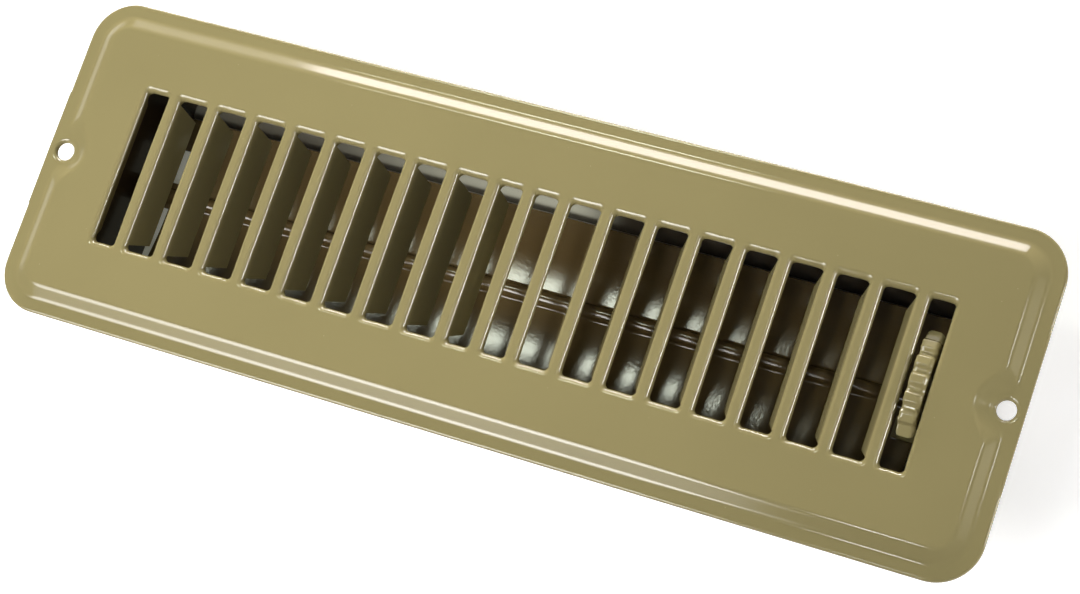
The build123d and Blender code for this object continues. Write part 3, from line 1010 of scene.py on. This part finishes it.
class REGISTER_OT_stage(bpy.types.Operator):
    """Adds the floor, the lamps, the world and the camera"""

    bl_idname = "register.stage"
    bl_label = "Stage"

    def execute(self, context):
        scene = context.scene
        scene.view_settings.view_transform = "Standard"
        self.floor(scene)
        self.world(scene)
        for lamp in LAMPS:
            area_light(*lamp)
        self.camera(scene)
        return {"FINISHED"}

    def floor(self, scene):
        """White paper that takes the shadow, with a patch of the same paper inside the collar that carries
        painted light.
        """
        low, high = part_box("duct_collar")
        far = FLOOR_REACH
        corners = [(low[0], low[1]), (high[0], low[1]), (high[0], high[1]), (low[0], high[1])]
        corners += [(-far, -far), (far, -far), (far, far), (-far, far)]
        frame_faces = [(4 + k, 4 + (k + 1) % 4, (k + 1) % 4, k) for k in range(4)]
        mesh = bpy.data.meshes.new("floor")
        mesh.from_pydata([(x, y, FLOOR_Z) for x, y in corners], [], frame_faces + [(0, 1, 2, 3)])
        floor = bpy.data.objects.new("floor", mesh)
        scene.collection.objects.link(floor)
        mesh.materials.append(self.white_paper())
        mesh.materials.append(self.shaded_paper())
        mesh.polygons[len(frame_faces)].material_index = 1

    def white_paper(self):
        """Matt white paper, lifted most beside the register and less further away. Beside the register the
        glow is painted light that lightens the cast shadow.
        """
        paper, tree, shader, place = new_material("white_paper")
        away = add_node(tree, "ShaderNodeVectorMath", {"operation": "LENGTH"}, {0: place})
        self.glow_for_sight(tree, shader, [(away.outputs["Value"], 0.3, 1.2, 0.5, 0.3)], (1.0, 1.0, 1.0))
        return paper

    def shaded_paper(self):
        """The paper inside the collar, lifted left of the middle and away from the far wall. The glow there
        is painted light, a pool where light through the slots would fall, which the far wall mirrors as lit
        patches.
        """
        paper, tree, shader, place = new_material("shaded_paper")
        x, y, _ = add_node(tree, "ShaderNodeSeparateXYZ", inputs={"Vector": place}).outputs
        # Painted light: these ramps set where the glow stands in for light falling through the slots
        ramps = [
            (x, -0.09, -0.01, 0.12, 1.0),
            (x, 0.0, 0.018, 1.0, 0.0),
            (y, 0.0242, 0.0251, 1.0, 0.05),
        ]
        self.glow_for_sight(tree, shader, ramps, (1.0, 1.0, 0.78))
        return paper

    def glow_for_sight(self, tree, shader, ramps, tint):
        """Matt paper lifted for rays from the camera, mirrors and glass, which lights nothing.

        Each ramp is a place, its two ends and the glow at each end, joined smoothly. The ramps multiply.
        """
        shader.inputs["Base Color"].default_value = (0.95, 0.95, 0.95, 1)
        shader.inputs["Roughness"].default_value = 0.9
        rays = add_node(tree, "ShaderNodeLightPath").outputs
        glow = rays["Is Camera Ray"]
        for ray in ("Is Glossy Ray", "Is Transmission Ray"):
            seen = add_node(tree, "ShaderNodeMath", {"operation": "MAXIMUM"}, {0: glow, 1: rays[ray]})
            glow = seen.outputs["Value"]
        for along, start, end, low, high in ramps:
            ramp = add_node(
                tree,
                "ShaderNodeMapRange",
                {"interpolation_type": "SMOOTHSTEP"},
                {"Value": along, "From Min": start, "From Max": end, "To Min": low, "To Max": high},
            )
            inputs = {0: glow, 1: ramp.outputs["Result"]}
            glow = add_node(tree, "ShaderNodeMath", {"operation": "MULTIPLY"}, inputs).outputs["Value"]
        shader.inputs["Emission Color"].default_value = tint + (1,)
        tree.links.new(glow, shader.inputs["Emission Strength"])

    def world(self, scene):
        """Even grey surroundings, a little light from every side."""
        world = bpy.data.worlds.new("studio")
        scene.world = world
        world.use_nodes = True
        tree = world.node_tree
        tree.nodes.clear()
        output = add_node(tree, "ShaderNodeOutputWorld")
        inputs = {"Color": (1, 1, 1, 1), "Strength": WORLD_STRENGTH}
        room = add_node(tree, "ShaderNodeBackground", inputs=inputs)
        tree.links.new(room.outputs["Background"], output.inputs["Surface"])

    def camera(self, scene):
        """Long lens above the near side, towards the thumbwheel's end."""
        lens = bpy.data.cameras.new("photo_camera")
        lens.lens = CAMERA_LENS
        lens.sensor_width = SENSOR_WIDTH
        lens.sensor_fit = "HORIZONTAL"
        holder = bpy.data.objects.new("photo_camera", lens)
        scene.collection.objects.link(holder)
        right, up = np.array(CAMERA_RIGHT), np.array(CAMERA_UP)
        right /= np.linalg.norm(right)
        up -= right * (up @ right)
        up /= np.linalg.norm(up)
        stand(holder, right, up, np.cross(right, up), CAMERA_PLACE)
        scene.camera = holder


class REGISTER_PT_panel(bpy.types.Panel):
    """Lists the pieces of the register and the stage"""

    bl_idname = "REGISTER_PT_panel"
    bl_label = "Floor register"
    bl_space_type = "VIEW_3D"
    bl_region_type = "UI"
    bl_category = "Register"

    def draw(self, context):
        for operator in OPERATORS:
            self.layout.operator(operator.bl_idname)
        for name in GROUPS:
            group = getattr(context.scene, name)
            box = self.layout.box()
            for key in property_names(group):
                box.prop(group, key)


GROUPS = {
    "register_face": RegisterFaceSizes,
    "register_damper": RegisterDamperSizes,
    "register_finishes": RegisterFinishes,
}
OPERATORS = (REGISTER_OT_face, REGISTER_OT_blade, REGISTER_OT_wheel, REGISTER_OT_collar, REGISTER_OT_stage)


def register():
    """Registers the property groups, the operators and the panel."""
    for name, group in GROUPS.items():
        bpy.utils.register_class(group)
        setattr(bpy.types.Scene, name, bpy.props.PointerProperty(type=group))
    for operator in OPERATORS:
        bpy.utils.register_class(operator)
    bpy.utils.register_class(REGISTER_PT_panel)


def unregister():
    """Takes everything that register added away again."""
    bpy.utils.unregister_class(REGISTER_PT_panel)
    for operator in reversed(OPERATORS):
        bpy.utils.unregister_class(operator)
    for name, group in GROUPS.items():
        delattr(bpy.types.Scene, name)
        bpy.utils.unregister_class(group)


def main():
    """Builds every piece and the stage."""
    register()
    bpy.ops.register.stage()
    bpy.ops.register.face()
    bpy.ops.register.blade()
    bpy.ops.register.wheel()
    bpy.ops.register.collar()


if __name__ == "__main__":
    main()
